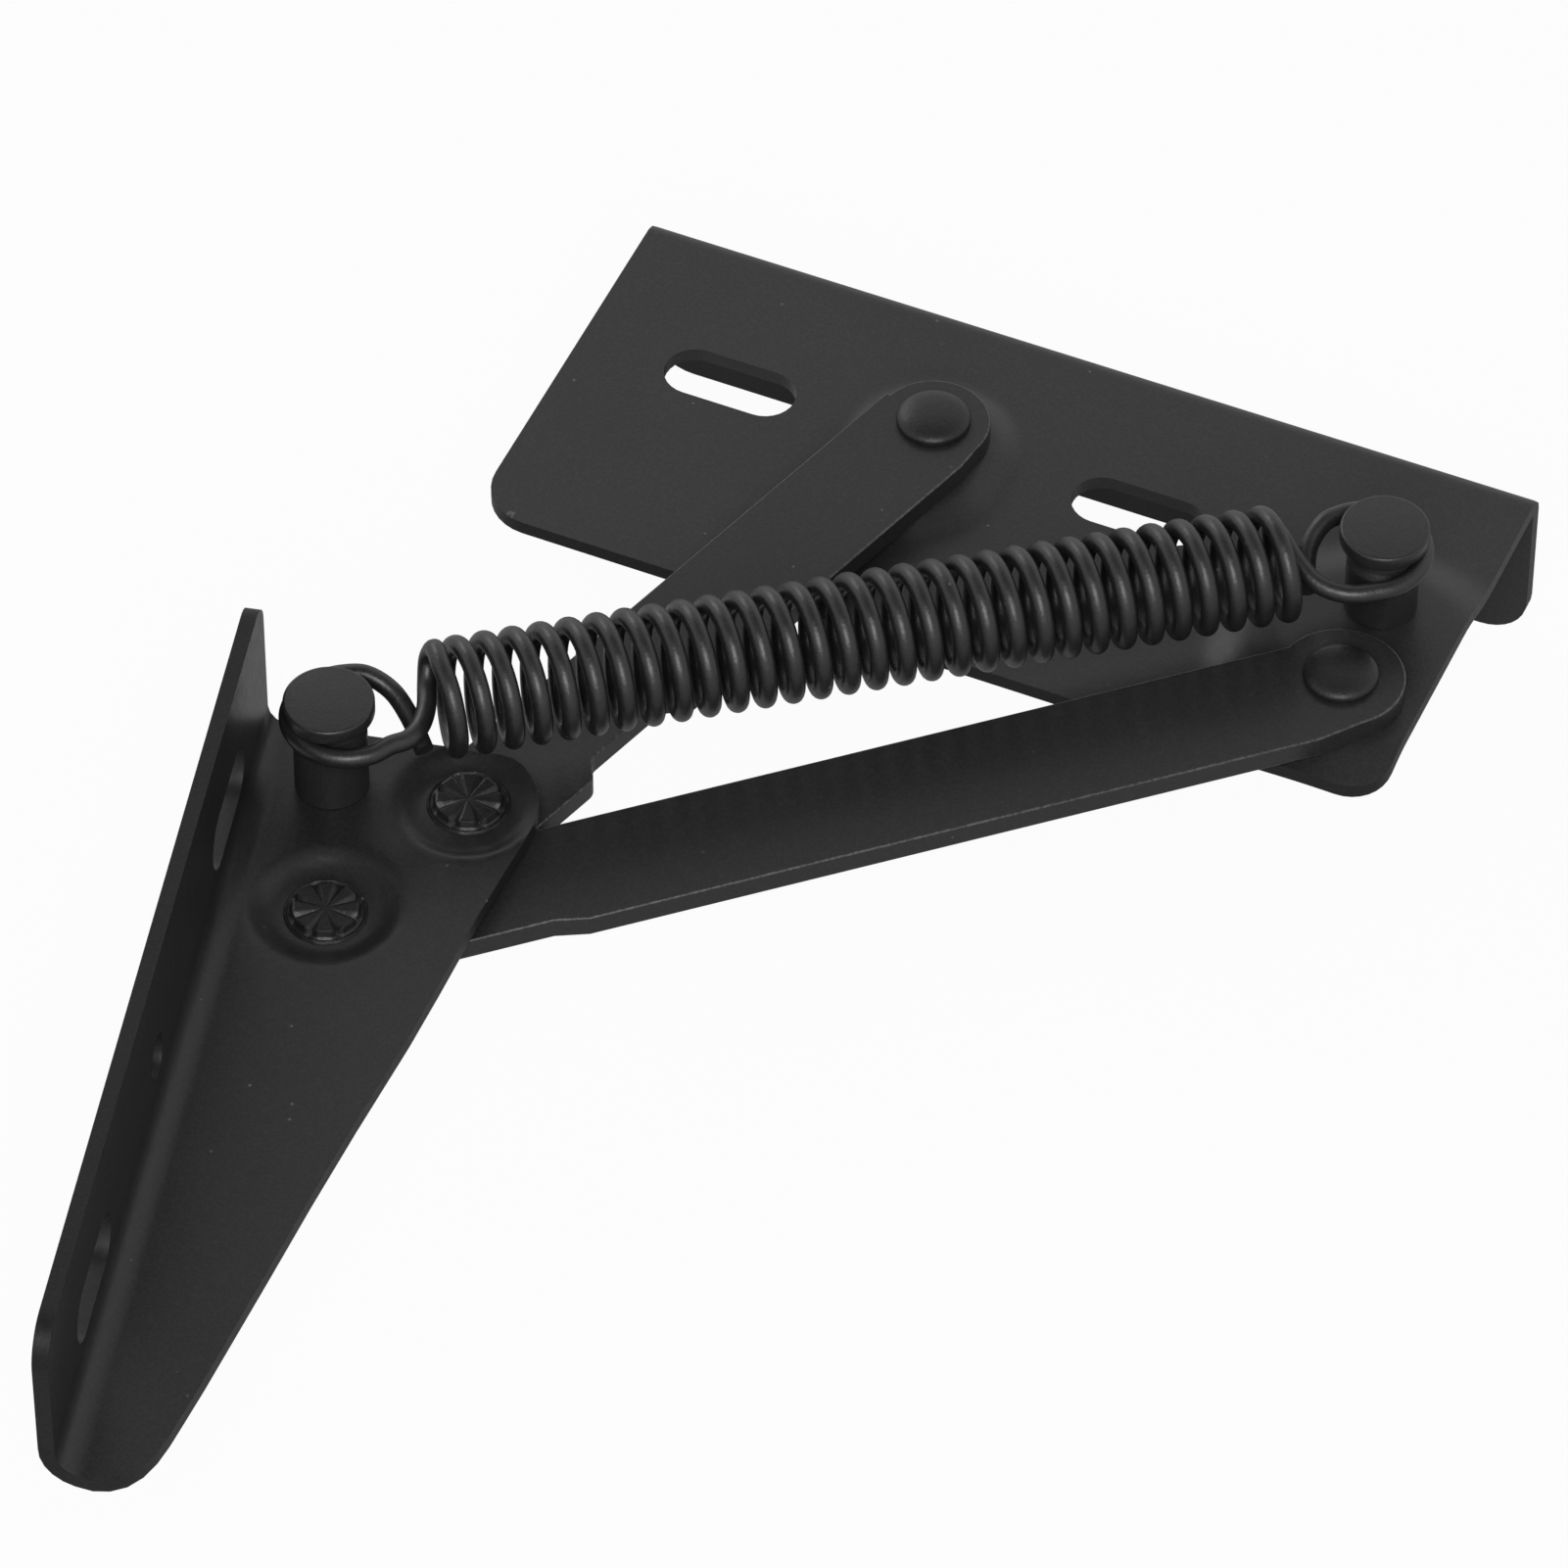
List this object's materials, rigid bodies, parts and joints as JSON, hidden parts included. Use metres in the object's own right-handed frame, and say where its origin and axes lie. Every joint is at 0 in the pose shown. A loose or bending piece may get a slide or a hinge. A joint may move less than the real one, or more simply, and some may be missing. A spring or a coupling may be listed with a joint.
{
  "type": "folding bed hinge",
  "caption": "Spring-assisted folding hinge: a base angle and a tapered lid angle joined by flat arms and a stretched coil spring.",
  "frame": {"origin": "middle of the two base slots, at the base plate's back face, on the short arm's base pivot", "axes": "+X along the base plate, +Y towards the base plate's folded lip, +Z out of the base plate towards the arms and the spring"},
  "size_m": [0.105, 0.1821, 0.0452],
  "materials": {
    "black_plate": "satin",
    "black_arm": "satin",
    "black_rivet": "satin",
    "black_spring": "satin"
  },
  "bodies": {
    "base": {"base_bracket": "black_plate", "short_arm_base_rivet": "black_rivet", "long_arm_base_rivet": "black_rivet"},
    "short_link": {"short_arm": "black_arm"},
    "long_link": {"long_arm": "black_arm", "long_arm_lid_rivet_head": "black_rivet"},
    "lid": {"lid_bracket": "black_plate", "lid_spring_post": "black_rivet", "short_arm_lid_rivet": "black_rivet", "long_arm_lid_rivet_tail": "black_rivet"},
    "spring_swivel": {"base_spring_post": "black_rivet"},
    "spring": {"tension_spring": "black_spring"}
  },
  "joints": [
    {"name": "fold", "type": "hinge", "parent": "base", "child": "short_link", "pos_m": [0, 0, 0.0042], "axis": [0, 0, -1], "range_deg": [0, 69.53]},
    {"name": "lid_turn", "type": "hinge", "parent": "short_link", "child": "lid", "pos_m": [-0.02106, -0.06902, 0.0042], "axis": [0, 0, 1], "range_deg": [0, 146.04]},
    {"name": "long_turn", "type": "hinge", "parent": "base", "child": "long_link", "pos_m": [0.0518, -0.0164, 0.0042], "axis": [0, 0, -1], "range_deg": [0, 42.41]},
    {"name": "spring_swing", "type": "hinge", "parent": "base", "child": "spring_swivel", "pos_m": [0.051, -0.0032, 0.0115], "axis": [0, 0, -1], "range_deg": [0, 32.36]},
    {"name": "spring_stretch", "type": "slide", "parent": "spring_swivel", "child": "spring", "axis": [-0.7738, -0.6335, 0], "range_m": [0, 0.01307], "deforming": ["tension_spring"]}
  ],
  "couplings": [
    {"joint": "lid_turn", "follows": "fold", "ratio": 2.1002},
    {"joint": "long_turn", "follows": "fold", "ratio": 0.60972},
    {"joint": "spring_swing", "follows": "fold", "ratio": 0.46526},
    {"joint": "spring_stretch", "follows": "fold", "m_per_rad": 0.010752}
  ]
}
